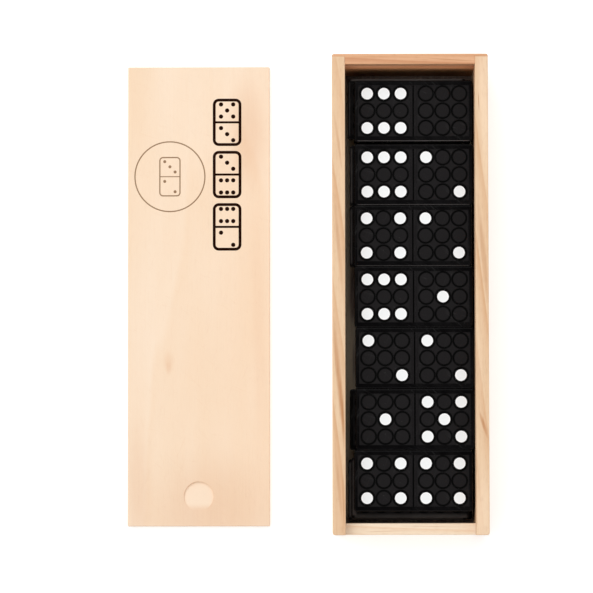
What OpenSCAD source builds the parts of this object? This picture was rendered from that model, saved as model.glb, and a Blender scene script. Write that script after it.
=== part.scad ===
// Domino box: an open pine tray, its sliding lid, and a double-six set of 28 tiles.
// The lid is off and lies flat beside the tray, and the tiles lie in four layers of seven.
// Millimetres. The origin is the middle of the tray's underside, +Y points to the closed end
// and +Z is up. The tray's other end is lower, so that the lid slides in over it.

/* [Tiles] */
// Length of a tile
tile_l = 38; // [30:0.5:50]
// Width of a tile
tile_w = 19.6; // [16:0.1:26]
// Thickness of a tile
tile_t = 5; // [4:0.5:8]
// Radius of the rounding along a tile's edges
tile_edge_r = 0.5; // [0.2:0.1:1]
// Radius of a tile's upright corners
tile_corner_r = 0.9; // [0.3:0.1:1.5]

/* [Tile face] */
// Plain border beyond the sunk panels at a tile's ends
border_end = 1.1; // [0.8:0.1:2]
// Plain border beyond the sunk panels at a tile's sides
border_side = 1.5; // [0.8:0.1:2]
// Width of the plain land between the two panels
divider_land = 2; // [1.2:0.1:3]
// Width of the groove along the middle of that land
divider_w = 0.5; // [0.4:0.1:1]
// Depth of that groove below the face
divider_depth = 0.5; // [0.2:0.1:1]
// Depth of the panels below the face
panel_depth = 0.2; // [0.1:0.05:0.4]
// Space from the outermost rings to the ends of their panel
ring_margin_end = 0.45; // [0.05:0.05:1]
// Space from the outermost rings to the sides of their panel
ring_margin_side = 0.05; // [0.05:0.05:1]
// Space between two neighbouring ring grooves
ring_gap = 0.15; // [0.1:0.05:0.6]
// Width of a ring groove
ring_w = 0.45; // [0.2:0.05:0.6]
// Depth of a ring groove below its panel
ring_depth = 0.3; // [0.15:0.05:0.6]
// Width of the rim left between a pip's dimple and its ring groove
pip_rim = 0.3; // [0.1:0.05:0.4]
// Depth of a painted pip's dimple below its panel
pip_depth = 0.15; // [0.05:0.05:0.4]

/* [Room for the tiles] */
// Gap between neighbouring tiles in a layer
tile_gap = 0.1; // [0.05:0.05:0.3]
// Extra gap after the first row, counted from the closed end
first_gap = 0.9; // [0.4:0.1:2]
// Free play beyond the tiles' ends, across the tray
play_x = 3.6; // [2:0.1:8]
// Free play along the tray
play_y = 7.5; // [5:0.1:12]
// How far the tiles lie from the middle of that play, towards the closed end
set_shift = 0.05; // [-1:0.05:1]
// Headroom between the top layer and the lid's grooves
head_room = 1; // [0.5:0.1:4]

/* [Tray] */
// Thickness of the side walls
side_t = 4.2; // [3.4:0.1:8]
// Thickness of the low wall at the open end
open_end_t = 3.7; // [3:0.1:8]
// Thickness of the wall at the closed end
closed_end_t = 4.1; // [3.4:0.1:8]
// Thickness of the tongue on the closed end wall that covers the side walls' end grain
tongue_t = 0.9; // [0.6:0.1:1.2]
// Thickness of the base panel
base_t = 3; // [2:0.5:6]
// How far the base panel's edges sit into the walls
base_lap = 2; // [1:0.1:2.2]
// Height of the lip above each groove
lip_t = 2.7; // [1.5:0.1:6]
// Radius of the rounding along the tray's edges
wall_edge_r = 0.3; // [0.2:0.1:1]
// Radius of the tray's upright corners
wall_corner_r = 0.8; // [0.3:0.1:2]

/* [Lid] */
// Thickness of the lid
lid_t = 3; // [2:0.1:5]
// Depth of the groove that the lid slides in, in each side wall
groove_depth = 2.6; // [1.5:0.1:2.8]
// Depth of the step in the closed end wall that the lid's end reaches into
end_step = 0.8; // [0.4:0.1:1.5]
// Clearance above and below the lid in its grooves, together
lid_play_z = 0.3; // [0.2:0.05:1]
// Clearance from each side of the lid to the bottom of its groove
lid_play_x = 0.15; // [0.1:0.05:0.5]
// Clearance from the lid's end to the step
lid_play_y = 0.2; // [0.1:0.05:1]
// Radius of the rounding along the lid's edges
lid_edge_r = 0.3; // [0.1:0.1:0.8]
// Diameter of the thumb notch
notch_d = 9.6; // [6:0.2:16]
// Depth of the notch at its steep side
notch_depth = 0.9; // [0.4:0.1:1.5]
// Distance from the lid's front end to the notch's centre
notch_inset = 9.8; // [8:0.2:30]
// Space between the tray and the lid that lies beside it
lid_apart = 20.4; // [5:0.1:60]
// How far the lid beside the tray lies towards the closed end
lid_shift = 0.8; // [-20:0.2:20]

/* [Hidden] */
$fn = 48;
EPS = 1; // cutters run this far past the faces that they cut

WOOD = [0.93, 0.79, 0.62];
END_WOOD = [0.88, 0.67, 0.47];
LID_WOOD = [0.97, 0.86, 0.73];
PLASTIC = [0.08, 0.07, 0.08];

// The set as it lies in the tray: the top layer first, and in each layer the closed end first.
// A pair is the pips on a tile's left and right halves.
LAYERS = [
    [[6, 0], [6, 2], [4, 2], [6, 1], [2, 2], [1, 5], [4, 4]],
    [[5, 3], [3, 0], [6, 6], [6, 3], [5, 4], [2, 0], [1, 1]],
    [[0, 0], [5, 5], [2, 1], [4, 3], [6, 4], [5, 0], [3, 1]],
    [[4, 1], [6, 5], [3, 2], [5, 2], [1, 0], [3, 3], [4, 0]],
];
// How far each tile lies off the middle, across the tray, as a share of its free play
SLIDE_X = [
    [0.68, 0.67, 0.54, 0.64, 0.80, 0.83, 0.51],
    [-0.43, -0.12, -0.15, 0.75, 0.85, -0.20, 0.10],
    [0.75, 0.72, 0.62, 0.80, 0.90, 0.86, -0.45],
    [0.70, 0.76, 0.66, 0.85, 0.88, 0.80, 0.72],
];
// How far each layer's first tile has moved towards the closed end, as a share of the room there
FIRST_SLIDE = [0, 0.3, 0.22, 0.15];
// How far each layer's last tile has moved towards the open end, as a share of the room there
LAST_SLIDE = [0, 0.58, 0.75, 0.7];

// Where a half's pips are, for zero to six: [column, row] in a grid of three by three
PIPS = [
    [],
    [[0, 0]],
    [[-1, 1], [1, -1]],
    [[-1, 1], [0, 0], [1, -1]],
    [[-1, 1], [1, 1], [-1, -1], [1, -1]],
    [[-1, 1], [1, 1], [0, 0], [-1, -1], [1, -1]],
    [[-1, 1], [0, 1], [1, 1], [-1, -1], [0, -1], [1, -1]],
];

layers = len(LAYERS);
rows = len(LAYERS[0]);

// Tile face
panel_l = (tile_l - divider_land) / 2 - border_end;
panel_w = tile_w - 2 * border_side;
half_x = (divider_land + panel_l) / 2;
pitch_x = (panel_l + ring_gap - 2 * ring_margin_end) / 3;
pitch_y = (panel_w + ring_gap - 2 * ring_margin_side) / 3;
ring_d = min(pitch_x, pitch_y) - ring_gap;
pip_d = ring_d - 2 * ring_w - 2 * pip_rim;

// Tray
row_pitch = tile_w + tile_gap;
set_l = rows * tile_w + (rows - 1) * tile_gap + first_gap;
inner_w = tile_l + play_x;
inner_l = set_l + play_y;
box_w = inner_w + 2 * side_t;
box_l = inner_l + open_end_t + closed_end_t;
inner_y0 = -box_l / 2 + open_end_t;
inner_y1 = box_l / 2 - closed_end_t;
groove_z = base_t + layers * tile_t + head_room;
groove_h = lid_t + lid_play_z;
box_h = groove_z + groove_h + lip_t;
side_l = box_l - tongue_t;

// Lid
lid_w = inner_w + 2 * groove_depth - 2 * lid_play_x;
lid_l = box_l - closed_end_t + end_step - lid_play_y;
lid_x = -(box_w + lid_w) / 2 - lid_apart;
notch_tilt = asin(notch_depth / notch_d);

// Tile places
row0_y = (inner_y0 + inner_y1) / 2 + set_shift + (set_l - tile_w) / 2;
last_y = row0_y - first_gap - (rows - 1) * row_pitch;
room_open = last_y - tile_w / 2 - inner_y0;
room_closed = inner_y1 - row0_y - tile_w / 2;

function slide_y(layer, row) =
    row == 0 ? -FIRST_SLIDE[layer] * room_closed
    : row == rows - 1 ? LAST_SLIDE[layer] * room_open
    : 0;
function tile_place(layer, row) = [
    SLIDE_X[layer][row] * play_x / 2,
    row0_y - row * row_pitch - (row > 0 ? first_gap : 0) - slide_y(layer, row),
    base_t + (layers - 1 - layer) * tile_t,
];
function tile_name(pips) = str("tile_", max(pips), "_", min(pips));

// A flat rectangle with round corners, centred
module round_rect(l, w, r) {
    square([l - 2 * r, w], center = true);
    square([l, w - 2 * r], center = true);
    for (x = [-1, 1], y = [-1, 1])
        translate([x * (l / 2 - r), y * (w / 2 - r)]) circle(r);
}

// A block centred on X and Y that stands on z = 0, with every edge rounded
module eased_block(l, w, h, edge_r, corner_r) {
    intersection() {
        linear_extrude(h) round_rect(l, w, corner_r);
        translate([0, w / 2, h / 2]) rotate([90, 0, 0])
            linear_extrude(w) round_rect(l, h, edge_r);
        translate([-l / 2, 0, h / 2]) rotate([90, 0, 90])
            linear_extrude(l) round_rect(w, h, edge_r);
    }
}

// The outside of the whole tray, which every wall is trimmed to
module tray_outside() {
    eased_block(box_w, box_l, box_h, wall_edge_r, wall_corner_r);
}

// The room that the base panel takes out of the bottom of the walls
module base_room() {
    translate([-inner_w / 2 - base_lap, inner_y0 - base_lap, -EPS])
        cube([inner_w + 2 * base_lap, inner_l + 2 * base_lap, base_t + EPS]);
}

module base_panel() {
    color(WOOD)
    translate([-inner_w / 2 - base_lap, inner_y0 - base_lap, 0])
        cube([inner_w + 2 * base_lap, inner_l + 2 * base_lap, base_t]);
}

// The right wall: the lid's groove runs its whole length and out at the open end
module side_wall() {
    inner_x = inner_w / 2;
    difference() {
        intersection() {
            tray_outside();
            translate([inner_x + side_t / 2, -box_l / 2 + side_l, box_h / 2]) rotate([90, 0, 0])
                linear_extrude(side_l) round_rect(side_t, box_h, wall_edge_r);
        }
        base_room();
        translate([inner_x - EPS, -box_l / 2 - EPS, groove_z])
            cube([groove_depth + EPS, box_l + 2 * EPS, groove_h]);
    }
}

module side_wall_right() {
    color(WOOD) side_wall();
}

module side_wall_left() {
    color(WOOD) mirror([1, 0, 0]) side_wall();
}

// The low wall between the side walls, which the lid passes over
module end_wall_open() {
    color(WOOD)
    difference() {
        intersection() {
            tray_outside();
            translate([-inner_w / 2, -box_l / 2 + open_end_t / 2, groove_z / 2]) rotate([90, 0, 90])
                linear_extrude(inner_w) round_rect(open_end_t, groove_z, wall_edge_r);
        }
        base_room();
    }
}

// The full-height wall: its core stands between the side walls and its tongue covers their ends
module end_wall_closed() {
    core_l = closed_end_t - tongue_t;
    color(END_WOOD)
    difference() {
        intersection() {
            tray_outside();
            union() {
                translate([-inner_w / 2, inner_y1, 0]) cube([inner_w, core_l, box_h]);
                translate([-box_w / 2, inner_y1 + core_l, 0]) cube([box_w, tongue_t, box_h]);
            }
        }
        base_room();
        translate([-inner_w / 2 - EPS, inner_y1 - EPS, groove_z])
            cube([inner_w + 2 * EPS, end_step + EPS, box_h]);
    }
}

// A flat board whose thumb notch is cut by a round cutter tilted about its front lip
module lid() {
    color(LID_WOOD)
    translate([lid_x, lid_shift, 0])
    difference() {
        eased_block(lid_w, lid_l, lid_t, lid_edge_r, lid_edge_r);
        translate([0, -lid_l / 2 + notch_inset - notch_d / 2, lid_t])
            rotate([-notch_tilt, 0, 0])
            translate([0, notch_d / 2, 0])
            cylinder(d = notch_d, h = lid_t);
    }
}

// A half's nine ring grooves, drawn flat round the half's centre
module ring_grid() {
    for (i = [-1 : 1], j = [-1 : 1])
        translate([i * pitch_x, j * pitch_y])
            difference() {
                circle(d = ring_d);
                circle(d = ring_d - 2 * ring_w);
            }
}

// What is cut out of one half of a tile's face
module half_face(pips) {
    translate([-panel_l / 2, -panel_w / 2, tile_t - panel_depth])
        cube([panel_l, panel_w, panel_depth + EPS]);
    translate([0, 0, tile_t - panel_depth - ring_depth])
        linear_extrude(ring_depth + EPS) ring_grid();
    for (at = PIPS[pips])
        translate([at[0] * pitch_x, at[1] * pitch_y, tile_t - panel_depth - pip_depth])
            cylinder(d = pip_d, h = pip_depth + EPS);
}

// A tile on its back, centred on X and Y
module tile(pips) {
    color(PLASTIC)
    difference() {
        eased_block(tile_l, tile_w, tile_t, tile_edge_r, tile_corner_r);
        translate([-half_x, 0, 0]) half_face(pips[0]);
        translate([half_x, 0, 0]) half_face(pips[1]);
        translate([-divider_w / 2, -panel_w / 2, tile_t - divider_depth])
            cube([divider_w, panel_w, divider_depth + EPS]);
    }
}

base_panel();
side_wall_left();
side_wall_right();
end_wall_closed();
end_wall_open();
lid();
for (layer = [0 : layers - 1], row = [0 : rows - 1])
    translate(tile_place(layer, row)) tile(LAYERS[layer][row]);
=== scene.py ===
"""Looks for a domino box: an open pine tray, its loose lid and a double-six set of tiles.

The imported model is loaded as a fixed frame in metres. Its boards and tiles keep their meshes and get
procedural finishes, and the pips' paint and the lid's print are added as thin pieces of their own.
"""

import math
from functools import wraps
from types import SimpleNamespace

import bpy
import numpy as np
from bpy.props import FloatProperty, FloatVectorProperty, PointerProperty
from mathutils import Matrix, Vector


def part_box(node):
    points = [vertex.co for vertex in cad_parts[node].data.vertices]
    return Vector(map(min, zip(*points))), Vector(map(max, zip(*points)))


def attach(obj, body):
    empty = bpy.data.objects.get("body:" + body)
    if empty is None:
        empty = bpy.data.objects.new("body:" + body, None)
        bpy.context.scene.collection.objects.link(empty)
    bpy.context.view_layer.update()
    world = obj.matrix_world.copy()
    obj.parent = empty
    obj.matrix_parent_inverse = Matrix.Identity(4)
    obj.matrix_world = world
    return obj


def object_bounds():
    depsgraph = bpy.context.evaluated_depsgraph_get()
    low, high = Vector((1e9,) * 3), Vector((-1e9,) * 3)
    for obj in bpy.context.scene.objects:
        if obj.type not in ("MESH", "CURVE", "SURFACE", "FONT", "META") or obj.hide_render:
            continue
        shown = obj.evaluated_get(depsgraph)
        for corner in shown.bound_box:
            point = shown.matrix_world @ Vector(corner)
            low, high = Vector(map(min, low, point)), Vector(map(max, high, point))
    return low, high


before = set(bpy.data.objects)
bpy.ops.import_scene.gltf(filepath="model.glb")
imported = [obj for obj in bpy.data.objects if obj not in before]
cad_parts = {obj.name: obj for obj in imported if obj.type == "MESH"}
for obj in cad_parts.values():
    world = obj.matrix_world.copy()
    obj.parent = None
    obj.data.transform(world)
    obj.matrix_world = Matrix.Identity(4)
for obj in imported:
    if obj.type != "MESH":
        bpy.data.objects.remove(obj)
CAD_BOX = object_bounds()

bl_info = {
    "name": "Domino Box",
    "version": (1, 0, 0),
    "blender": (4, 5, 0),
    "location": "3D View > Sidebar > Domino Box",
    "description": "Wood, plastic, paint and print for a box of dominoes",
    "category": "Object",
}

MM = 0.001
PER_MM = 1000.0

# Colours of use and of the stage, and heights of fine relief
SCRATCHED_PLASTIC = (0.1, 0.1, 0.1)
DUST_ON_BLACK = (0.35, 0.34, 0.32)
DUST_ON_WHITE = (0.4, 0.39, 0.37)
FLAG_BLACK = (0.02, 0.02, 0.02)
FLAG_GREY = (0.04, 0.04, 0.04)
WHITE = (1.0, 1.0, 1.0)
FINE_RELIEF = 0.02 * MM
PAINT_RELIEF = 0.008 * MM
# How far ink stands on the wood and reaches into it, and the space between paint and its dimple
INK_HEIGHT = 0.015 * MM
INK_BITE = 0.03 * MM
PIP_SLACK = 0.006 * MM
# The floor's place under the object, and the black flag above it that glossy faces mirror
FLOOR_DROP = 0.02 * MM
FLAG_SIZE = 3000 * MM
FLAG_HEIGHT = 1700 * MM
# The three directions of fine scratches, in radians
SCRATCH_TURNS = (0.35, -0.8, 1.9)

# Where a half's pips are, for zero to six: (column, row) in a grid of three by three
PIPS = (
    (),
    ((0, 0),),
    ((-1, 1), (1, -1)),
    ((-1, 1), (0, 0), (1, -1)),
    ((-1, 1), (1, 1), (-1, -1), (1, -1)),
    ((-1, 1), (1, 1), (0, 0), (-1, -1), (1, -1)),
    ((-1, 1), (0, 1), (1, 1), (-1, -1), (0, -1), (1, -1)),
)
# A tile's higher half lies on the left, but for these
TURNED_TILES = ("tile_5_1",)
# The halves of the three dominoes that are printed along the lid: matching ends meet
PRINTED_CHAIN = ((5, 3), (3, 6), (6, 2))
RING_DOMINO = (3, 2)
# Painted highlight: how strongly a tile's left, front and back edges are painted pale, standing for
# lit edges, and how wide, in millimetres, and the same for all other tiles
EDGE_HIGHLIGHTS = {
    "tile_6_0": (0, 1, 0, 0.25),
    "tile_6_2": (0, 0.8, 0, 0.25),
    "tile_4_2": (0, 0.6, 0, 0.25),
    "tile_5_3": (0.4, 0, 0.9, 0.9),
    "tile_3_0": (0.55, 0, 0, 1.1),
    "tile_6_6": (0.5, 0, 0, 1.1),
    "tile_1_1": (0.5, 0.32, 0, 2),
    "tile_3_1": (0.9, 0.4, 0, 1.3),
}
EDGE_HIGHLIGHTS_ELSEWHERE = (0.03, 0.05, 0.03, 0.25)

# Streaks and flecks on a board, in millimetres from its middle with Y along its grain:
# (across, along, turn in degrees, width, length, depth of colour), bleached where that is negative;
# some of them are painted shade, marked where they stand
STREAKS = {
    "side_wall_left": (
        (-0.1, 49, 7.8, 1.3, 24, 0.4), (-0.1, 16.5, 5.2, 1.7, 42, 0.4),
        (-0.1, -26, 5.2, 2.3, 54, 0.8), (1.3, -41, 3, 1.5, 28, 0.5),
        (-0.2, -60, 5.2, 1.5, 30, 0.4), (1.4, -66, 2, 1, 24, 0.4),
    ),
    "side_wall_right": (
        (0.9, 62, 2, 5.5, 76, -0.75), (0, -72, 0, 9, 56, -0.7),
        (-0.9, -20, 3, 2.6, 40, -0.3), (-0.9, 62, 3, 0.35, 9, 0.8),
        (0.6, 12, 6, 2.4, 52, 0.5), (0.3, -41.5, 17, 1.6, 12, 0.8),
    ),
    "end_wall_closed": (
        (-0.1, 13, -3.5, 0.35, 22, 0.8), (0.9, -4, 1, 0.5, 34, 0.3),
        # The last of these is painted shade: the closed end's inner face, darkened along its whole length
        (-1.1, -12, 1.5, 0.5, 24, 0.35), (2.05, 0, 0, 1.4, 400, 1),
    ),
    "end_wall_open": (
        (0.7, -9, 1.5, 0.5, 20, 0.3), (-0.8, 7, -1, 0.45, 26, 0.35),
    ),
    "base_panel": (
        (6, 30, 2, 2, 60, 0.4), (-9, -25, -1, 1.6, 70, 0.4),
        # These four are painted shade: the base panel darkened at both ends and along its left side, at the
        # foot of the gaps round the tiles
        (0, 74, 0, 300, 16, 1.1), (0, -74, 0, 300, 12, 1.1),
        (-18, 1, 0, 4, 28, 1.2), (-17.6, -21, 0, 2.6, 24, 0.7),
    ),
    "lid": (
        (-9.85, -21.5, 2, 4.8, 9, 0.18), (-9.85, -23.6, 0, 2.8, 6.5, 0.15),
        (16, 54, 2, 16, 50, 0.28), (19.5, -10, 1, 6, 120, 0.08),
        (4, -72, 0, 60, 56, 0.28), (-20, -62, 0, 12, 60, 0.2),
    ),
}

# How far streaks reach down from a board's top, in millimetres, where they don't go through it
STREAKS_REACH = {"side_wall_left": 13.0, "side_wall_right": 13.0}
THROUGHOUT = 1e6

# How strongly slow changes of tone, fibres, pores and rubbed edges show on a board
USUAL_DEPTHS = {"tone_depth": 0.3, "fibre_depth": 0.35, "pore_depth": 0.2, "edge_depth": 0.5}
LID_DEPTHS = {"tone_depth": 0.35, "fibre_depth": 0.14, "pore_depth": 0.05, "edge_depth": 0.3}


def settings():
    """The scene's settings of the box."""
    return bpy.context.scene.domino_box


def paint(red, green, blue):
    """A display colour, 0 to 255, as the linear colour that shaders mix: the display curve undone."""
    shares = [channel / 255 for channel in (red, green, blue)]
    return tuple(s / 12.92 if s <= 0.04045 else ((s + 0.055) / 1.055) ** 2.4 for s in shares)


def number(name, description, value, **options):
    return FloatProperty(name=name, description=description, default=value, **options)


def sized(name, description, millimetres):
    return number(name, description, millimetres * MM, unit="LENGTH", precision=5)


def angled(name, description, degrees):
    return number(name, description, math.radians(degrees), subtype="ANGLE", unit="ROTATION")


def vector(name, description, values, **options):
    return FloatVectorProperty(name=name, description=description, default=values, **options)


def coloured(name, description, *display):
    return vector(name, description, paint(*display), subtype="COLOR", min=0, max=1)


# Settings


class WoodSettings(bpy.types.PropertyGroup):
    """Colours of the boards, and sizes of their grain and the thumb notch"""

    side_early: coloured("Side Early Wood", "Pale wood of the side walls", 241, 208, 171)
    side_late: coloured("Side Late Wood", "Dark wood of the side walls", 226, 180, 138)
    end_early: coloured("Closed End Early Wood", "Pale wood of the closed end", 236, 184, 142)
    end_late: coloured("Closed End Late Wood", "Dark wood of the closed end", 205, 140, 98)
    low_early: coloured("Open End Early Wood", "Pale wood of the open end", 254, 232, 204)
    low_late: coloured("Open End Late Wood", "Dark wood of the open end", 246, 213, 180)
    base_early: coloured("Base Early Wood", "Pale wood of the base panel", 216, 200, 176)
    base_late: coloured("Base Late Wood", "Dark wood of the base panel", 198, 178, 150)
    lid_early: coloured("Lid Early Wood", "Pale wood of the lid", 254, 231, 206)
    lid_late: coloured("Lid Late Wood", "Dark wood of the lid", 250, 221, 190)
    # Also painted shade: this colour darkens the closed end's inner face through its streak
    knot: coloured("Knots", "Resinous streaks in the pine", 198, 138, 92)
    # Also painted shade: the base panel's darkening at the foot of the gaps round the tiles
    base_knot: coloured("Base Knots", "Dirt and dark streaks in the base panel", 128, 106, 96)
    bleached: coloured("Bleached Wood", "Pale parts of a board", 254, 225, 193)
    lid_knot: coloured("Lid Knots", "Flecks and warm streaks in the lid", 222, 160, 108)
    ring_gap: sized("Ring Gap", "Space between the pine's growth rings", 4.6)
    lid_ring_gap: sized("Lid Ring Gap", "Space between the lid's growth rings", 7.5)
    wear_width: sized("Worn Edge", "Width of the rubbed band along the edges", 0.7)
    relief: sized("Relief", "Height of the raised grain", 0.05)
    notch_width: sized("Notch Width", "Width across the lid's thumb notch", 9.6)
    notch_inset: sized("Notch Inset", "From the lid's front end to the notch's middle", 9.8)


class TileSettings(bpy.types.PropertyGroup):
    """Layout and colours of the tiles' faces and pips"""

    border_end: sized("End Border", "Border beyond the panels at a tile's ends", 1.1)
    border_side: sized("Side Border", "Border beyond the panels at its sides", 1.5)
    divider_land: sized("Divider", "Land between a tile's two panels", 2)
    ring_margin_end: sized("Ring End Margin", "From the outer rings to their panel's ends", 0.45)
    ring_margin_side: sized("Ring Side Margin", "From the outer rings to its sides", 0.05)
    ring_gap: sized("Ring Gap", "Space between neighbouring rings", 0.15)
    ring_width: sized("Ring Width", "Width of a ring groove", 0.45)
    pip_rim: sized("Pip Rim", "Rim between a pip and its ring groove", 0.3)
    panel_depth: sized("Panel Depth", "Depth of the panels below the face", 0.2)
    pip_depth: sized("Pip Depth", "Depth of a pip's dimple below its panel", 0.15)
    pip_dish: sized("Pip Dish", "How far the paint sinks at a pip's middle", 0.06)
    border: coloured("Border", "Plastic of the smooth border", 8, 7, 8)
    panel: coloured("Panel", "Plastic of the matt panels", 29, 27, 28)
    # Painted shade: near-black for the ring grooves, the divider and the rims round the rings
    groove: coloured("Groove", "Dirt in the rings and the divider", 1, 1, 1)
    # Painted highlight: the pale colour of the bands that stand for lit tile edges
    rubbed: coloured("Rubbed Edge", "Plastic rubbed pale along a tile's edges", 104, 100, 99)
    pip: coloured("Pip Middle", "Paint at the middle of a pip", 249, 251, 251)
    pip_edge: coloured("Pip Edge", "Thicker paint round a pip's edge", 255, 255, 255)


class PrintSettings(bpy.types.PropertyGroup):
    """The print on the lid: a chain of dominoes, and a ring round a small one"""

    domino_length: sized("Domino Length", "Length of a printed domino", 15.6)
    domino_width: sized("Domino Width", "Width of a printed domino", 9.4)
    domino_gap: sized("Domino Gap", "Space between printed dominoes", 1.6)
    corner: sized("Corner", "Radius of a printed domino's corners", 1.5)
    stroke: sized("Stroke", "Width of the heavy lines", 0.95)
    pip: sized("Pip", "Width of a printed pip", 1.4)
    pip_pitch: sized("Pip Pitch", "Space between printed pips' middles", 2.0)
    chain_side: sized("Chain Side", "From the lid's side to the chain's middle", 13.96)
    chain_end: sized("Chain End", "From the lid's back end to the chain's middle", 35.4)
    ring_width: sized("Ring", "Width across the printed ring", 22.94)
    ring_side: sized("Ring Side", "From the lid's other side to the ring's middle", 13.78)
    ring_end: sized("Ring End", "From the lid's back end to the ring's middle", 36.07)
    thin_stroke: sized("Thin Stroke", "Width of the ring's lines", 0.4)
    thin_length: sized("Small Domino Length", "Length of the domino in the ring", 13)
    thin_width: sized("Small Domino Width", "Width of the domino in the ring", 7)
    thin_pip: sized("Small Pip", "Width of its pips", 1.0)
    thin_pitch: sized("Small Pip Pitch", "Space between its pips' middles", 1.7)
    dark_ink: coloured("Dark Ink", "Ink of the chain of dominoes", 31, 7, 0)
    pale_ink: coloured("Pale Ink", "Ink of the ring", 156, 126, 98)


class StageSettings(bpy.types.PropertyGroup):
    """Camera, floor and light"""

    camera_place: vector(
        "Camera Place",
        "Where the camera is",
        (-0.0259, -0.0602, 1.1283),
        subtype="TRANSLATION",
        unit="LENGTH",
    )
    camera_turn: vector(
        "Camera Turn",
        "The camera's turn from straight down, about X, Y and Z",
        [math.radians(degrees) for degrees in (3.091, 0.547, -0.099)],
        subtype="EULER",
        unit="ROTATION",
    )
    lens: number("Lens", "Focal length in millimetres on a 36 mm sensor", 209.1, min=1)
    lamp_size: sized("Lamp Size", "Side of the square lamp", 1500)
    lamp_distance: sized("Lamp Distance", "From the object's middle to the lamp", 1600)
    lamp_height: angled("Lamp Height", "The lamp's angle above the floor", 60)
    lamp_side: angled("Lamp Side", "The lamp's turn from the closed end towards the lid", 40)
    lamp_share: number("Lamp Share", "The lamp's part of the light", 0.4, subtype="FACTOR", min=0, max=1)
    light: number("Light", "Light on the floor, where 1 shows a colour as written", 1.1, min=0)
    floor_size: sized("Floor Size", "Side of the square floor", 12000)
    floor: coloured("Floor", "Colour of the floor", 250, 250, 250)
    floor_glow: number("Floor Glow", "How much brighter the floor is seen", 0.4, min=0)


class BoxSettings(bpy.types.PropertyGroup):
    """All settings of the box"""

    wood: PointerProperty(type=WoodSettings)
    tiles: PointerProperty(type=TileSettings)
    prints: PointerProperty(type=PrintSettings)
    stage: PointerProperty(type=StageSettings)


# Node trees


def worked(operation):
    """A wire's method that adds a node for that operation."""
    return lambda wire, *others: wire.work(operation, *others)


class Wire:
    """What a node puts out. Arithmetic on it adds a node for numbers, or for vectors if it is one."""

    def __init__(self, sheet, socket):
        self.sheet = sheet
        self.socket = socket

    def work(self, operation, *others):
        is_vector = self.socket.type == "VECTOR"
        feeds = dict(enumerate((self, *others)))
        wires = self.sheet.add("VectorMath" if is_vector else "Math", feeds, operation=operation)
        return wires["Vector" if is_vector and operation not in ("LENGTH", "DOT_PRODUCT") else "Value"]

    __add__, __sub__ = worked("ADD"), worked("SUBTRACT")
    __mul__, __truediv__ = worked("MULTIPLY"), worked("DIVIDE")
    __abs__ = worked("ABSOLUTE")
    least, most, below = worked("MINIMUM"), worked("MAXIMUM"), worked("LESS_THAN")
    length, dot = worked("LENGTH"), worked("DOT_PRODUCT")

    def split(self):
        """The X, Y and Z of a vector."""
        parts = self.sheet.add("SeparateXYZ", {0: self})
        return parts[0], parts[1], parts[2]

    def turned(self, angle):
        """A vector turned about Z."""
        feeds = {"Vector": self, "Angle": angle}
        return self.sheet.add("VectorRotate", feeds, rotation_type="Z_AXIS")[0]

    def step(self, low, high):
        """A smooth rise from 0 at low to 1 at high; low may be the larger of the two."""
        feeds = {"Value": self, "From Min": low, "From Max": high}
        return self.sheet.add("MapRange", feeds, interpolation_type="SMOOTHSTEP")[0]

    def spread(self, low, high):
        """A share from 0 to 1 as a number from low to high."""
        return self.work("MULTIPLY_ADD", high - low, low)

    def noise(self, per_mm, detail=2.0, rough=0.5):
        """Noise in shares from 0 to 1, with so many features in a millimetre, or along X, Y and Z."""
        scale = (per_mm, per_mm, per_mm) if isinstance(per_mm, float) else per_mm
        feeds = {"Vector": self * scale, "Scale": 1.0, "Detail": detail, "Roughness": rough}
        return self.sheet.add("TexNoise", feeds)["Fac"]

    def mix(self, first, second):
        """A colour that goes from first to second as this share goes from 0 to 1."""
        return self.sheet.add("Mix", {0: self, 6: first, 7: second}, data_type="RGBA")[2]


def layered(colour, *layers):
    """A colour under layers: each is a share from 0 to 1 and the colour that it brings."""
    for share, over in layers:
        colour = share.mix(colour, over)
    return colour


class NodeSheet:
    """Adds nodes to a tree. A value that is a wire is joined, and any other is set."""

    COLUMNS = 9
    COLUMN_WIDTH = 220
    ROW_HEIGHT = 320

    def __init__(self, tree):
        self.tree = tree

    def feed(self, socket, value):
        if isinstance(value, Wire):
            self.tree.links.new(value.socket, socket)
        elif socket.type == "RGBA":
            socket.default_value = (*value, 1.0)
        else:
            socket.default_value = value

    def wires(self, node):
        """A node's outputs by number and by name."""
        pairs = (*enumerate(node.outputs), *node.outputs.items())
        return {key: Wire(self, socket) for key, socket in pairs}

    def add_node(self, kind, feeds, **options):
        row, column = divmod(len(self.tree.nodes), self.COLUMNS)
        node = self.tree.nodes.new("ShaderNode" + kind)
        node.location = (column * self.COLUMN_WIDTH, -row * self.ROW_HEIGHT)
        for name, value in options.items():
            setattr(node, name, value)
        for name, value in dict(feeds).items():
            self.feed(node.inputs[name], value)
        return node

    def add(self, kind, feeds=(), **options):
        return self.wires(self.add_node(kind, feeds, **options))


def cleared_sheet(owner):
    """A sheet on the emptied node tree of a material or a world."""
    owner.use_nodes = True
    owner.node_tree.nodes.clear()
    return NodeSheet(owner.node_tree)


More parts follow.
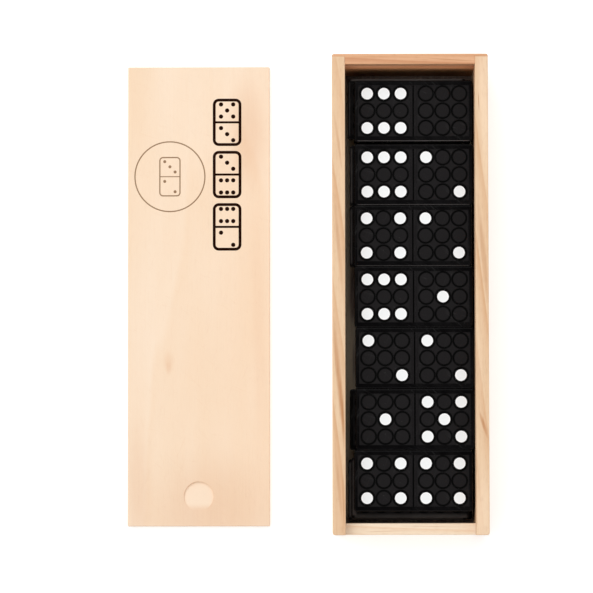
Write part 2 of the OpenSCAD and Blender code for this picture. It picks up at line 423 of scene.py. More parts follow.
class Finish(NodeSheet):
    """A new material with its shader in place. Constants are set on the shader's own sockets."""

    def __init__(self, name, **constants):
        self.material = bpy.data.materials.new(name)
        super().__init__(cleared_sheet(self.material).tree)
        feeds = {label.replace("_", " "): value for label, value in constants.items()}
        self.shader = self.add_node("BsdfPrincipled", feeds)
        self.add("OutputMaterial", {"Surface": Wire(self, self.shader.outputs[0])})

    def millimetres(self, centre, turn=0.0):
        """Object coordinates as millimetres from centre, which is in metres, turned about Z."""
        feeds = {
            "Vector": self.add("TexCoord")["Object"],
            "Location": Matrix.Rotation(turn, 3, "Z") @ Vector(centre) * -PER_MM,
            "Rotation": (0.0, 0.0, turn),
            "Scale": (PER_MM, PER_MM, PER_MM),
        }
        return self.add("Mapping", feeds)[0]

    def wear(self, relief, colour, roughness, height):
        """Joins a finish's colour, roughness and height, of which 1 stands as high as the relief."""
        bump = self.add("Bump", {"Height": height, "Distance": relief, "Strength": 1.0})[0]
        for label, wire in (("Base Color", colour), ("Roughness", roughness), ("Normal", bump)):
            self.feed(self.shader.inputs[label], wire)
        return self.material


SOCKET_KINDS = {"VALUE": "Float", "VECTOR": "Vector", "RGBA": "Color"}


def label_of(name):
    """A socket's label for a name: Half Size for half_size."""
    return name.replace("_", " ").title()


def by_name(wires):
    """Wires as attributes with their labels' names, such as half_size."""
    labels = [key for key in wires if isinstance(key, str) and key]
    return SimpleNamespace(**{label.replace(" ", "_").lower(): wires[label] for label in labels})


def group_tree(draw, inputs):
    """The node group that a drawing function describes, made on first use."""
    label = label_of(draw.__name__)
    if label in bpy.data.node_groups:
        return bpy.data.node_groups[label]
    tree = bpy.data.node_groups.new(label, "ShaderNodeTree")

    def add_socket(name, way, kind):
        tree.interface.new_socket(name=label_of(name), in_out=way, socket_type="NodeSocket" + kind)

    for kind, names in inputs.items():
        for name in names.split():
            add_socket(name, "INPUT", kind)
    sheet = NodeSheet(tree)
    drawn = draw(by_name(sheet.wires(tree.nodes.new("NodeGroupInput"))))
    for name, wire in drawn.items():
        add_socket(name, "OUTPUT", SOCKET_KINDS[wire.socket.type])
    result = tree.nodes.new("NodeGroupOutput")
    for name, wire in drawn.items():
        sheet.feed(result.inputs[label_of(name)], wire)
    return tree


def shader_group(**inputs):
    """Makes a drawing function place its node group in a sheet and give back the group's outputs.

    The inputs are names by kind of socket. The drawing function gets them as wires and returns a
    dict of the group's outputs.
    """

    def decorate(draw):
        @wraps(draw)
        def place_group(sheet, **feeds):
            labelled = {label_of(name): value for name, value in feeds.items()}
            return by_name(sheet.add("Group", labelled, node_tree=group_tree(draw, inputs)))

        return place_group

    return decorate


# Wood


@shader_group(Vector="place heart", Float="slope warp ring_gap")
def wood_grain(given):
    """Growth rings, fibres, pores and slow tone of wood whose grain runs along Y, in millimetres.

    A ring's number and how far into it a place is come from the distance to the heart, tilted by
    the slope and bent by noise, shared out by the ring gap.
    """
    place = given.place
    flat = (place - given.heart) * (1, 0, 1)
    rise = place.split()[1] * given.slope + flat.length()
    rings = (place.noise((0.05, 0.009, 0.05)) * given.warp + rise) / given.ring_gap
    across = rings.work("FRACT")
    drawn = {"W": rings.work("FLOOR")}
    strength = place.sheet.add("TexWhiteNoise", drawn, noise_dimensions="1D")["Value"]
    late = across.work("POWER", 3.0) * across.step(1.0, 0.9) * strength.spread(0.7, 1.6)
    return {
        "late": late.least(1.0),
        "fibre": place.noise((1.4, 0.035, 1.4), 5.0, 0.62).step(0.32, 0.68),
        "pores": place.noise((9.0, 0.3, 9.0), 1.0).step(0.6, 0.72),
        "tone": place.noise((0.1, 0.018, 0.1), 1.0).step(0.3, 0.7),
    }


@shader_group(Vector="place half_size", Float="band")
def block_edges(given):
    """Masks for a block's twelve edges and for its two ends along Y.

    The depth below each pair of faces is the half size less the place without its sign, and an edge
    is where the middle one of the three depths is small.
    """
    across, along, up = (given.half_size - abs(given.place)).split()
    middle = across.least(along).most(across.most(along).least(up))
    reach = given.place.noise(0.5, 3.0).spread(0.5, 1.5) * given.band
    return {"edge": middle.step(reach, 0.0), "end": along.step(0.3, 0.03)}


@shader_group(Vector="place centre half_size", Float="angle ragged depth")
def streak(given):
    """A soft egg of other colour about a middle on a board's top, with ragged sides.

    It is 1 in the middle and falls to 0 where the turned distances, shared out by half the width,
    half the length and the reach downwards, make a length of 1.
    """
    shares = (given.place - given.centre).turned(given.angle) / given.half_size
    ragged = given.place.noise((1.2, 0.05, 1.2), 3.0) - 0.5
    reach = ragged * given.ragged + shares.length()
    return {"mask": reach.step(1.0, 0.15) * given.depth}


@shader_group(Vector="place")
def handling(given):
    """What use leaves on a surface: fine scratches in three directions, and specks of dust.

    A scratch is where stretched noise crosses its middle value, broken up by wider noise, and a
    speck is the heart of a cell that a draw picks out.
    """
    place = given.place
    scratches = None
    for turn in SCRATCH_TURNS:
        turned = place.turned(turn)
        off_middle = abs(turned.noise((0.9, 0.035, 0.9), 1.0) - 0.5)
        kept = turned.noise((0.4, 0.08, 0.4)).step(0.52, 0.62)
        broken = off_middle.step(0.012, 0.0) * kept
        scratches = broken if scratches is None else scratches.most(broken)
    cells = place.sheet.add("TexVoronoi", {"Vector": place, "Scale": 0.55})
    picked = cells["Color"].split()[0].step(0.55, 0.75)
    return {"scratches": scratches, "dust": cells["Distance"].step(0.075, 0.03) * picked}


@shader_group(
    Vector="place half_size heart",
    Float="band slope warp ring_gap streaks bleach tone_depth fibre_depth pore_depth edge_depth",
    Color="early late knot bleached",
)
def board_finish(given):
    """Colour, roughness and height of a sanded board, from its grain, streaks, painted shade, ends, edges
    and use.
    """
    place, sheet = given.place, given.place.sheet
    rings = {"heart": given.heart, "slope": given.slope, "warp": given.warp}
    grain = wood_grain(sheet, place=place, ring_gap=given.ring_gap, **rings)
    block = block_edges(sheet, place=place, half_size=given.half_size, band=given.band)
    scratches = handling(sheet, place=place).scratches
    fibre, pores = grain.fibre, grain.pores
    uneven = fibre.spread(0.45, -0.85) * given.fibre_depth + 1.0
    wood = layered(
        given.early,
        (grain.late, given.late),
        (grain.tone * given.tone_depth, given.late),
        (fibre * given.fibre_depth, given.late),
        (given.bleach, given.bleached),
        (uneven * given.streaks, given.knot),
        (pores * given.pore_depth, given.knot),
        (block.end * 0.35, given.knot),
        (block.edge * given.edge_depth, given.early),
        (scratches * 0.07, given.knot),
    )
    saw = place.noise((6.0, 0.6, 1.2))
    height = fibre * 0.35 + saw * 0.3 + grain.late * 0.4 - pores * 0.5 - scratches * 0.4
    return {
        "colour": wood,
        "roughness": fibre.spread(0.5, 0.66) + (pores + block.end) * 0.15 - block.edge * 0.1,
        "height": height - block.end * pores,
    }


def middle_of(node):
    """The middle of a node, in metres."""
    low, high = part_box(node)
    return (low + high) / 2


def half_size_of(node):
    """Half the size of a node, in millimetres."""
    low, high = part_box(node)
    return (high - low) * PER_MM / 2


def all_streaks(sheet, place, node, sign):
    """The board's dark streaks, painted shade among them, for a sign of 1, or its bleached ones for -1,
    added up.
    """
    total = 0.0
    top = half_size_of(node).z
    reach = STREAKS_REACH.get(node, THROUGHOUT)
    for across, along, turn, width, length, depth in STREAKS[node]:
        if depth * sign <= 0:
            continue
        egg = {"centre": (across, along, top), "half_size": (width / 2, length / 2, reach)}
        sides = {"angle": -math.radians(turn), "ragged": min(0.6, 1.5 / width)}
        total = streak(sheet, place=place, depth=depth * sign, **egg, **sides).mask + total
    return total


def board_material(node, grain_along_x=False, **values):
    """The sheet and surface of one board, whose place has Y along the grain."""
    wood = settings().wood
    sheet = Finish(node + "_wood", Specular_IOR_Level=0.35)
    place = sheet.millimetres(middle_of(node), math.pi / 2 if grain_along_x else 0.0)
    half = half_size_of(node)
    usual = {
        "half_size": (half.y, half.x, half.z) if grain_along_x else half,
        "band": wood.wear_width * PER_MM,
        "ring_gap": wood.ring_gap * PER_MM,
        "knot": wood.knot,
        "bleached": wood.bleached,
        "streaks": all_streaks(sheet, place, node, 1),
        "bleach": all_streaks(sheet, place, node, -1),
    }
    return sheet, board_finish(sheet, place=place, **{**usual, **USUAL_DEPTHS, **values})


def coat(node, material):
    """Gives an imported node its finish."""
    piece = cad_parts[node]
    for material_slot in piece.material_slots:
        material_slot.material = material


def finish_boards():
    """Pine for the four walls and the base, each with its own rings."""
    wood = settings().wood
    sides = {"early": wood.side_early, "late": wood.side_late, "warp": 5.0}
    ends = {"ring_gap": wood.ring_gap * PER_MM * 0.5, "warp": 3.0, "grain_along_x": True}
    closed = dict(ends, early=wood.end_early, late=wood.end_late)
    low = dict(ends, early=wood.low_early, late=wood.low_late)
    base = dict(sides, early=wood.base_early, late=wood.base_late, knot=wood.base_knot)
    boards = (
        ("side_wall_left", "pine_side", sides, (-62.0, 0.0, -30.0), 0.11),
        ("side_wall_right", "pine_side", sides, (-70.0, 0.0, 22.0), 0.12),
        ("end_wall_closed", "pine_end", closed, (30.0, 0.0, -24.0), 0.02),
        ("end_wall_open", "pine_side", low, (34.0, 0.0, 20.0), 0.03),
        ("base_panel", "base_plywood", base, (4.0, 0.0, -40.0), 0.05),
    )
    for node, slot, values, heart, slope in boards:
        sheet, surface = board_material(node, heart=heart, slope=slope, **values)
        coat(node, sheet.wear(wood.relief, **vars(surface)))


@shader_group(Vector="place half_size centre", Float="radius height", Color="colour fresh")
def notch_floor(given):
    """Adds the thumb notch to a lid's finish: fresh pale wood with fine marks left by the cutter.

    The floor is where the place is inside the notch's circle and below the lid's face, and the marks
    are arcs about the notch's middle.
    """
    radius = ((given.place - given.centre) * (1, 1, 0)).length()
    inside = radius.step(given.radius, given.radius - 0.05)
    below = given.half_size.split()[2] - given.place.split()[2]
    mask = inside * below.step(0.02, 0.25)
    marks = (radius * 14.0).work("SINE")
    colour = (mask * 0.85).mix(given.colour, given.fresh)
    return {"colour": colour, "height": marks * mask * 0.12 + given.height}


def finish_lid():
    """Pale close-grained wood for the lid, with a fleck, warm streaks and the milled notch."""
    wood = settings().wood
    half = half_size_of("lid")
    colours = {"early": wood.lid_early, "late": wood.lid_late, "knot": wood.lid_knot}
    rings = {"ring_gap": wood.lid_ring_gap * PER_MM, "heart": (9.0, 0.0, -90.0), "slope": 0.03, "warp": 9.0}
    sheet, surface = board_material("lid", **colours, **rings, **LID_DEPTHS)
    milled = notch_floor(
        sheet,
        place=sheet.millimetres(middle_of("lid")),
        half_size=half,
        centre=(0.0, wood.notch_inset * PER_MM - half.y, 0.0),
        radius=wood.notch_width * PER_MM / 2,
        colour=surface.colour,
        height=surface.height,
        fresh=wood.lid_early,
    )
    coat("lid", sheet.wear(wood.relief * 0.5, roughness=surface.roughness, **vars(milled)))


# Tiles


def tile_names():
    """The tiles' nodes, such as tile_6_4, whose digits are the pips on its halves."""
    return sorted(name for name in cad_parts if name.startswith("tile_"))


def halves_of(tile):
    """The pips on a tile's left and right halves."""
    high, low = (int(digit) for digit in tile.split("_")[1:])
    return (low, high) if tile in TURNED_TILES else (high, low)


def face_layout(tile):
    """From a tile's middle to a half's, the rings' pitch along X and Y, and a ring's width."""
    tiles = settings().tiles
    low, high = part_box(tile)
    panel_length = (high.x - low.x - tiles.divider_land) / 2 - tiles.border_end
    panel_width = high.y - low.y - 2 * tiles.border_side
    half_x = (tiles.divider_land + panel_length) / 2
    pitch_x = (panel_length + tiles.ring_gap - 2 * tiles.ring_margin_end) / 3
    pitch_y = (panel_width + tiles.ring_gap - 2 * tiles.ring_margin_side) / 3
    return half_x, pitch_x, pitch_y, min(pitch_x, pitch_y) - tiles.ring_gap


@shader_group(
    Vector="place half_size reach pitch rubbed",
    Float="half_middle ring_radius panel_depth pip_floor rubbed_width",
    Color="border panel groove rubbed_plastic",
)
def tile_moulding(given):
    """Colour, roughness and height of a moulded tile: a smooth border and matt, sunk panels.

    Inside the rectangle round both panels, the depth below the face tells panels and grooves from
    the border. Painted shade darkens the grooves, and lies where the distance to the nearest ring's
    middle, found by wrapping the place at the rings' pitch, is near the ring's radius. Pale bands
    within the highlight width along the edges are painted highlight.
    """
    place, sheet = given.place, given.place.sheet
    across, along, up = place.split()
    half_x, half_y, top = given.half_size.split()
    reach_x, reach_y, _ = given.reach.split()
    pitch_x, pitch_y, _ = given.pitch.split()
    off_x, off_y = abs(across), abs(along)
    inside = off_x.below(reach_x) * off_y.below(reach_y)
    depth = top - up
    sunk = inside * depth.step(0.02, given.panel_depth)
    # Painted shade: the grooves below the pip floor take the black groove colour
    groove = inside * (depth - given.pip_floor).step(0.02, 0.1)

    off_half = off_x - given.half_middle
    near_x = off_half.work("PINGPONG", pitch_x * 0.5)
    near_y = along.work("PINGPONG", pitch_y * 0.5)
    near = sheet.add("CombineXYZ", {"X": near_x, "Y": near_y})[0]
    on_rings = abs(off_half).below(pitch_x * 1.5)
    # Painted shade: a dark ring about each ring groove, wider than the groove itself
    ring_shade = abs(near.length() - given.ring_radius).step(0.46, 0.2) * inside * on_rings

    # Painted highlight: pale bands along the left, front and back edges stand for lit edges, fading out
    # deeper below the face
    width, full = given.rubbed_width, given.rubbed_width * 0.4
    clear_x, clear_y = (half_x - off_x).step(0.6, 1.4), (half_y - off_y).step(0.6, 1.4)
    from_left = across + half_x
    lines = {
        "X": from_left.step(width, full) * from_left.step(0.1, 0.4) * clear_y,
        "Y": (along + half_y).step(width, full) * clear_x,
        "Z": (half_y - along).step(width, full) * clear_x,
    }
    patchy = place.noise(0.12, 3.0).spread(0.4, 1.5) * depth.step(3.0, 1.5)
    rubbed = sheet.add("CombineXYZ", lines)[0].dot(given.rubbed) * patchy

    block = block_edges(sheet, place=place, half_size=given.half_size, band=0.45)
    use = handling(sheet, place=place)
    smudge = place.noise(0.16, 3.0).step(0.35, 0.7)
    spark = place.noise(7.0, 2.0, 0.7)
    colour = layered(
        given.border,
        (inside, given.panel),
        (smudge * 0.15, given.panel),
        (block.edge * sunk.spread(1.0, 0.0) * 0.2, given.panel),
        (ring_shade * 0.9, given.groove),
        (groove, given.groove),
        (rubbed, given.rubbed_plastic),
        (use.scratches * 0.12, SCRATCHED_PLASTIC),
        (use.dust * 0.12, DUST_ON_BLACK),
    )
    return {
        "colour": colour,
        "roughness": smudge.spread(0.2, 0.3) + sunk * spark.spread(0.22, 0.42) + use.scratches * 0.12,
        "height": place.noise(0.35, 1.0) * 0.7 + sunk * spark * 0.8 - use.scratches * 0.3,
    }


def finish_tiles():
    """Moulded black plastic, with its panels and grooves found from each tile's own middle."""
    tiles = settings().tiles
    for tile in tile_names():
        half = half_size_of(tile)
        half_x, pitch_x, pitch_y, ring = (size * PER_MM for size in face_layout(tile))
        # Painted highlight: this tile's shares of pale edge bands, and their width
        *rubbed, rubbed_width = EDGE_HIGHLIGHTS.get(tile, EDGE_HIGHLIGHTS_ELSEWHERE)
        sheet = Finish(tile + "_plastic", Specular_IOR_Level=0.08)
        surface = tile_moulding(
            sheet,
            place=sheet.millimetres(middle_of(tile)),
            half_size=half,
            reach=(half.x - tiles.border_end * PER_MM, half.y - tiles.border_side * PER_MM, 0.0),
            pitch=(pitch_x, pitch_y, 0.0),
            half_middle=half_x,
            ring_radius=(ring - tiles.ring_width * PER_MM) / 2,
            panel_depth=tiles.panel_depth * PER_MM,
            pip_floor=(tiles.panel_depth + tiles.pip_depth) * PER_MM,
            rubbed=rubbed,
            rubbed_width=rubbed_width,
            border=tiles.border,
            panel=tiles.panel,
            groove=tiles.groove,
            rubbed_plastic=tiles.rubbed,
        )
        coat(tile, sheet.wear(FINE_RELIEF, **vars(surface)))


# Meshes


def circle(width, points):
    """Points round a circle: its radius times the cosine and sine of equal angles."""
    angles = np.arange(points) * (2 * np.pi / points)
    return width / 2 * np.stack([np.cos(angles), np.sin(angles)], axis=1)


def round_rectangle(width, length, radius, points_per_corner=7):
    """Points round a rectangle, with a quarter circle about each corner's centre."""
    quarter = np.linspace(0, np.pi / 2, points_per_corner)
    angles = quarter + np.arange(4)[:, None] * np.pi / 2
    signs = np.array([(1, 1), (-1, 1), (-1, -1), (1, -1)])
    centres = signs * (width / 2 - radius, length / 2 - radius)
    arcs = radius * np.stack([np.cos(angles), np.sin(angles)], axis=2)
    return (centres[:, None, :] + arcs).reshape(-1, 2)


def raised(plan, heights):
    """Points in plan and their heights as points in space."""
    return np.concatenate([plan, np.broadcast_to(heights, plan.shape[:-1] + (1,))], axis=-1)


def pads(centres, outline, profile):
    """A closed pad at each centre, as vertices and faces.

    The profile is (share, height) pairs from the middle of the top, over the rim and down to the
    underside: a ring is the outline times the share, at the height. The first is the middle point,
    and the last ring is closed by one face.
    """
    shares, heights = np.array(profile).T
    rings = raised(outline * shares[1:, None, None], heights[1:, None, None])
    pad = np.concatenate([[(0.0, 0.0, heights[0])], rings.reshape(-1, 3)])
    vertices = (centres[:, None] + pad).reshape(-1, 3)
    count, starts = len(outline), np.arange(len(centres)) * len(pad)
    here = np.arange(count)
    after = (here + 1) % count
    first = 1 + np.arange(len(shares) - 2)[:, None] * count
    fan = np.stack([np.zeros(count, int), 1 + here, 1 + after], axis=1)
    walls = np.stack([first + here, first + count + here, first + count + after, first + after], axis=2)
    underside = 1 + (len(shares) - 2) * count + here[::-1]
    faces = (starts[:, None, None] + fan).reshape(-1, 3).tolist()
    faces += (starts[:, None, None] + walls.reshape(-1, 4)).reshape(-1, 4).tolist()
    faces += (starts[:, None] + underside).tolist()
    return vertices, faces


def band(centre, outline, width, low, high):
    """A closed flat band along an outline, as vertices and faces.

    Its section is a rectangle, carried along the outline: half the width to each side along the
    outline's normal, from low to high.
    """
    forward = np.roll(outline, -1, axis=0) - np.roll(outline, 1, axis=0)
    normal = np.stack([forward[:, 1], -forward[:, 0]], axis=1)
    normal /= np.linalg.norm(normal, axis=1, keepdims=True)
    sides = np.array([0.5, 0.5, -0.5, -0.5]) * width
    heights = np.array([low, high, high, low])
    rings = raised(outline[:, None] + normal[:, None] * sides[:, None], heights[:, None])
    vertices = centre + rings.reshape(-1, 3)
    here, side = np.meshgrid(np.arange(len(outline)), np.arange(4), indexing="ij")
    after, next_side = (here + 1) % len(outline), (side + 1) % 4
    corners = [here * 4 + side, after * 4 + side, after * 4 + next_side, here * 4 + next_side]
    return vertices, np.stack(corners, axis=2).reshape(-1, 4).tolist()


def joined(parts):
    """Several (vertices, faces) pairs as one."""
    vertices, faces, count = [], [], 0
    for part_vertices, part_faces in parts:
        faces += [[index + count for index in face] for face in part_faces]
        vertices.append(part_vertices)
        count += len(part_vertices)
    return np.concatenate(vertices), faces


def new_object(name, data):
    """An object that shows data in the scene."""
    made = bpy.data.objects.new(name, data)
    bpy.context.scene.collection.objects.link(made)
    return made


def new_mesh(name, vertices, faces, material):
    """An object with a mesh of those vertices, in metres, and faces."""
    mesh = bpy.data.meshes.new(name)
    mesh.from_pydata(vertices, [], faces)
    mesh.materials.append(material)
    return new_object(name, mesh)


def new_piece(name, shape, material, body):
    """A piece from (vertices, faces), shaded smooth but for its sharp edges."""
    piece = new_mesh(name, *shape, material)
    piece.data.validate()
    piece.data.shade_smooth()
    piece.data.set_sharp_from_angle(angle=math.radians(35))
    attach(piece, body)
    return piece


# Pips

PIP_POINTS = 24
RING_POINTS = 96
PIP_RIM_SHARE = 0.86
ACROSS = "across"


def pip_layout(tile):
    """The pips' middles at a tile's face, a row of X, Y and Z each, and a pip's width."""
    tiles = settings().tiles
    low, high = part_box(tile)
    half_x, pitch_x, pitch_y, ring = face_layout(tile)
    middle = np.array([(low.x + high.x) / 2, (low.y + high.y) / 2, high.z])
    places = [
        middle + (side * half_x + column * pitch_x, row * pitch_y, 0.0)
        for side, pips in zip((-1, 1), halves_of(tile))
        for column, row in PIPS[pips]
    ]
    return np.array(places), ring - 2 * tiles.ring_width - 2 * tiles.pip_rim


def pip_paint_material():
    """Gloss paint that has sunk and thinned towards the middle of each pip."""
    tiles = settings().tiles
    sheet = Finish("pip_paint", Specular_IOR_Level=0.4)
    place = sheet.millimetres((0.0, 0.0, 0.0))
    across = sheet.add("Attribute", attribute_name=ACROSS)["Fac"]
    blots = place.noise(0.9, 3.0)
    thick = (across + blots.spread(-0.25, 0.25)).step(0.6, 0.95)
    use = handling(sheet, place=place)
    colour = layered(tiles.pip, (thick, tiles.pip_edge), (use.dust * 0.3, DUST_ON_WHITE))
    height = use.scratches * -0.4 + place.noise(2.2, 1.0)
    return sheet.wear(PAINT_RELIEF, colour, blots.spread(0.26, 0.42), height)


def paint_pips():
    """One piece of paint for each tile that has pips: dished discs that fill its dimples.

    A disc sinks from its rim to its middle with the square of the distance, and its sides reach
    just above the dimple's floor.
    """
    tiles = settings().tiles
    material = pip_paint_material()
    rim = -tiles.panel_depth - PIP_SLACK
    floor = -tiles.panel_depth - tiles.pip_depth + PIP_SLACK
    middle = rim - tiles.pip_dish
    shoulder = middle + tiles.pip_dish * PIP_RIM_SHARE**2
    profile = ((0.0, middle), (PIP_RIM_SHARE, shoulder), (1.0, rim), (1.0, floor))
    for tile in tile_names():
        places, width = pip_layout(tile)
        if not len(places):
            continue
        outline = circle(width - 2 * PIP_SLACK, PIP_POINTS)
        name = tile.replace("tile_", "pips_")
        piece = new_piece(name, pads(places, outline, profile), material, tile)
        shares = np.repeat([share for share, _ in profile[1:]], PIP_POINTS)
        across = np.tile(np.concatenate([[0.0], shares]), len(places))
        attribute = piece.data.attributes.new(ACROSS, "FLOAT", "POINT")
        attribute.data.foreach_set("value", across.astype(np.float32))


# Print


@shader_group(Vector="place", Color="ink wood")
def ink_on_wood(given):
    """Colour, roughness and height of ink that has sunk unevenly between the fibres of a board."""
    fibre = given.place.noise((2.6, 0.12, 2.6), 4.0, 0.65).step(0.35, 0.75)
    starved = given.place.noise((5.0, 0.9, 5.0)).step(0.62, 0.75)
    colour = layered(given.ink, (fibre * 0.012, given.wood), (starved * 0.03, given.wood))
    return {"colour": colour, "roughness": fibre.spread(0.55, 0.8), "height": fibre}


def ink_material(name, ink):
    sheet = Finish(name, Specular_IOR_Level=0.02)
    place = sheet.millimetres(middle_of("lid"))
    surface = ink_on_wood(sheet, place=place, ink=ink, wood=settings().wood.lid_late)
    return sheet.wear(INK_HEIGHT, **vars(surface))


def printed_domino(centre, halves, width, length, corner, stroke, pip, pitch):
    """The parts of one printed domino: its outline, the bar across its middle and its pips."""
    low, high = -INK_BITE, INK_HEIGHT
    flat = ((0.0, high), (1.0, high), (1.0, low))
    edge = round_rectangle(width - stroke, length - stroke, corner)
    bar_width = stroke * 0.75
    bar = round_rectangle(width - 2 * bar_width, bar_width, stroke * 0.2, points_per_corner=3)
    parts = [band(centre, edge, stroke, low, high), pads(centre[None, :], bar, flat)]
    steps = [
        (column * pitch, side * length / 4 + row * pitch, 0.0)
        for side, pips in zip((1, -1), halves)
        for column, row in PIPS[pips]
    ]
    if steps:
        parts.append(pads(centre + np.array(steps), circle(pip, PIP_POINTS), flat))
    return parts


def print_chain():
    """Three heavy dominoes in a row along the lid, whose matching halves meet."""
    prints = settings().prints
    _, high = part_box("lid")
    middle = np.array(high) - (prints.chain_side, prints.chain_end, 0.0)
    pitch = prints.domino_length + prints.domino_gap
    shape = (prints.domino_width, prints.domino_length, prints.corner)
    lines = (prints.stroke, prints.pip, prints.pip_pitch)
    parts = []
    for index, halves in enumerate(PRINTED_CHAIN):
        centre = middle + (0.0, (1 - index) * pitch, 0.0)
        parts += printed_domino(centre, halves, *shape, *lines)
    ink = ink_material("dark_ink", prints.dark_ink)
    new_piece("print_dominoes", joined(parts), ink, "lid")


def print_ring():
    """A thin ring with one small domino in it, on the lid's other side."""
    prints = settings().prints
    low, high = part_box("lid")
    centre = np.array([low.x + prints.ring_side, high.y - prints.ring_end, high.z])
    ring = circle(prints.ring_width, RING_POINTS)
    shape = (prints.thin_width, prints.thin_length, prints.corner * 0.7)
    lines = (prints.thin_stroke, prints.thin_pip, prints.thin_pitch)
    parts = [band(centre, ring, prints.thin_stroke, -INK_BITE, INK_HEIGHT)]
    parts += printed_domino(centre, RING_DOMINO, *shape, *lines)
    ink = ink_material("pale_ink", prints.pale_ink)
    new_piece("print_ring", joined(parts), ink, "lid")


# Stage


def seen_directly(sheet):
    """1 for camera, glossy and transmission rays, and 0 for rays that carry light."""
    path = sheet.add("LightPath")
    seen = path["Is Camera Ray"]
    return seen.most(path["Is Glossy Ray"]).most(path["Is Transmission Ray"])


def stage_square(name, size, height, material):
    """A flat square of the stage, facing up."""
    half = size / 2
    corners = np.array([(-half, -half), (half, -half), (half, half), (-half, half)])
    square = new_mesh(name, raised(corners, height), [(0, 1, 2, 3)], material)
    return square


def floor_material():
    """Pale paper that keeps the shadows and is lifted to white where it is seen."""
    stage = settings().stage
    material = bpy.data.materials.new("floor_paper")
    sheet = cleared_sheet(material)
    tooth = sheet.add("TexCoord")["Object"].noise(900.0, 3.0)
    bump = sheet.add("Bump", {"Height": tooth, "Distance": FINE_RELIEF, "Strength": 0.3})[0]
    paper = sheet.add("BsdfDiffuse", {"Color": stage.floor, "Normal": bump})[0]
    strength = seen_directly(sheet) * stage.floor_glow
    glow = sheet.add("Emission", {"Color": WHITE, "Strength": strength})[0]
    both = sheet.add("AddShader", {0: paper, 1: glow})[0]
    sheet.add("OutputMaterial", {"Surface": both})
    return material


def flag_material():
    """Black cloth with a fine weave."""
    sheet = Finish("flag_cloth", Roughness=0.9, Specular_IOR_Level=0.0)
    weave = sheet.millimetres((0.0, 0.0, 0.0)).noise((1.0, 0.2, 1.0))
    sheet.feed(sheet.shader.inputs["Base Color"], weave.mix(FLAG_BLACK, FLAG_GREY))
    return sheet.material


def light_world():
    """An even sky that gives the rest of the light, and is white where it is seen."""
    stage = settings().stage
    world = bpy.data.worlds.new("sky")
    sheet = cleared_sheet(world)
    strength = seen_directly(sheet).spread((1 - stage.lamp_share) * stage.light, 1.0)
    sky = sheet.add("Background", {"Color": WHITE, "Strength": strength})[0]
    sheet.add("OutputWorld", {"Surface": sky})
    bpy.context.scene.world = world


def hang_lamp(target):
    """A square lamp that gives its share of the light on the floor.

    A small lamp of power P at distance d, h above the floor, gives it P sin(h) / (pi d^2), and a
    white floor shows as 1 under pi.
    """
    stage = settings().stage
    height, side = stage.lamp_height, stage.lamp_side
    reach = math.cos(height)
    towards = Vector((-reach * math.sin(side), reach * math.cos(side), math.sin(height)))
    light = bpy.data.lights.new("lamp", "AREA")
    light.shape = "SQUARE"
    light.size = stage.lamp_size
    wanted = math.pi * stage.lamp_share * stage.light
    light.energy = wanted * math.pi * stage.lamp_distance**2 / math.sin(height)
    lamp = new_object("lamp", light)
    lamp.location = target + towards * stage.lamp_distance
    lamp.rotation_mode = "QUATERNION"
    lamp.rotation_quaternion = towards.to_track_quat("Z", "Y")
    lamp.visible_camera = False


def place_camera():
    stage = settings().stage
    camera = bpy.data.cameras.new("camera")
    camera.lens = stage.lens
    camera.sensor_width = 36.0
    camera.clip_start = 0.01
    camera.clip_end = 50.0
    holder = new_object("camera", camera)
    holder.location = stage.camera_place
    holder.rotation_mode = "ZYX"
    holder.rotation_euler = stage.camera_turn
    bpy.context.scene.camera = holder


def set_stage():
    """The floor, the black flag overhead, the light and the camera."""
    stage = settings().stage
    low, high = CAD_BOX
    middle = (low + high) / 2
    stage_square("floor", stage.floor_size, low.z - FLOOR_DROP, floor_material())
    flag = stage_square("flag", FLAG_SIZE, FLAG_HEIGHT, flag_material())
    flag.visible_camera = flag.visible_diffuse = flag.visible_shadow = False
    light_world()
    hang_lamp(middle)
    place_camera()
    bpy.context.scene.view_settings.view_transform = "Standard"


# Add-on


class Step:
    """What all steps share: they can be undone."""

    bl_options = {"REGISTER", "UNDO"}


class DOMINO_OT_boards(Step, bpy.types.Operator):
    """Finish the tray's walls and base in pine"""

    bl_idname = "domino.boards"
    bl_label = "Finish Boards"

    def execute(self, context):
        finish_boards()
        return {"FINISHED"}


class DOMINO_OT_lid(Step, bpy.types.Operator):
    """Finish the lid and its thumb notch"""

    bl_idname = "domino.lid"
    bl_label = "Finish Lid"

    def execute(self, context):
        finish_lid()
        return {"FINISHED"}


class DOMINO_OT_tiles(Step, bpy.types.Operator):
    """Finish the tiles in moulded plastic"""

    bl_idname = "domino.tiles"
    bl_label = "Finish Tiles"

    def execute(self, context):
        finish_tiles()
        return {"FINISHED"}


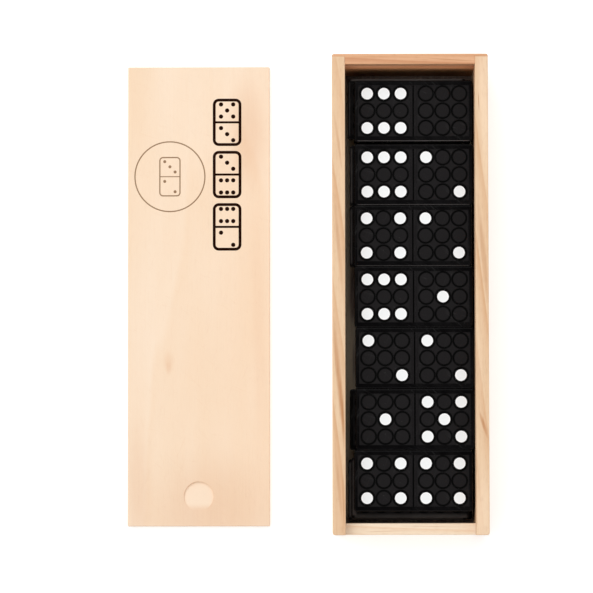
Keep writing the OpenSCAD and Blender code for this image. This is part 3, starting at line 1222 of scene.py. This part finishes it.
class DOMINO_OT_pips(Step, bpy.types.Operator):
    """Fill the tiles' dimples with white paint"""

    bl_idname = "domino.pips"
    bl_label = "Paint Pips"

    def execute(self, context):
        paint_pips()
        return {"FINISHED"}


class DOMINO_OT_chain(Step, bpy.types.Operator):
    """Print the chain of dominoes on the lid"""

    bl_idname = "domino.chain"
    bl_label = "Print Dominoes"

    def execute(self, context):
        print_chain()
        return {"FINISHED"}


class DOMINO_OT_ring(Step, bpy.types.Operator):
    """Print the ring on the lid"""

    bl_idname = "domino.ring"
    bl_label = "Print Ring"

    def execute(self, context):
        print_ring()
        return {"FINISHED"}


class DOMINO_OT_stage(Step, bpy.types.Operator):
    """Set up the floor, the light and the camera"""

    bl_idname = "domino.stage"
    bl_label = "Set Stage"

    def execute(self, context):
        set_stage()
        return {"FINISHED"}


OPERATORS = (
    DOMINO_OT_boards, DOMINO_OT_lid, DOMINO_OT_tiles, DOMINO_OT_pips, DOMINO_OT_chain, DOMINO_OT_ring,
    DOMINO_OT_stage,
)


class DOMINO_PT_box(bpy.types.Panel):
    """Lists the domino box's settings and steps"""

    bl_idname = "DOMINO_PT_box"
    bl_label = "Domino Box"
    bl_space_type = "VIEW_3D"
    bl_region_type = "UI"
    bl_category = "Domino Box"

    def draw(self, context):
        box = context.scene.domino_box
        for group in (box.wood, box.tiles, box.prints, box.stage):
            for name in type(group).__annotations__:
                self.layout.prop(group, name)
        for operator in OPERATORS:
            self.layout.operator(operator.bl_idname)


CLASSES = (WoodSettings, TileSettings, PrintSettings, StageSettings, BoxSettings, *OPERATORS, DOMINO_PT_box)


def register():
    for added in CLASSES:
        bpy.utils.register_class(added)
    bpy.types.Scene.domino_box = PointerProperty(type=BoxSettings)


def unregister():
    del bpy.types.Scene.domino_box
    for added in reversed(CLASSES):
        bpy.utils.unregister_class(added)


def main():
    """Registers the add-on and finishes every piece in order."""
    register()
    for operator in OPERATORS:
        getattr(bpy.ops.domino, operator.bl_idname.split(".")[1])()


if __name__ == "__main__":
    main()
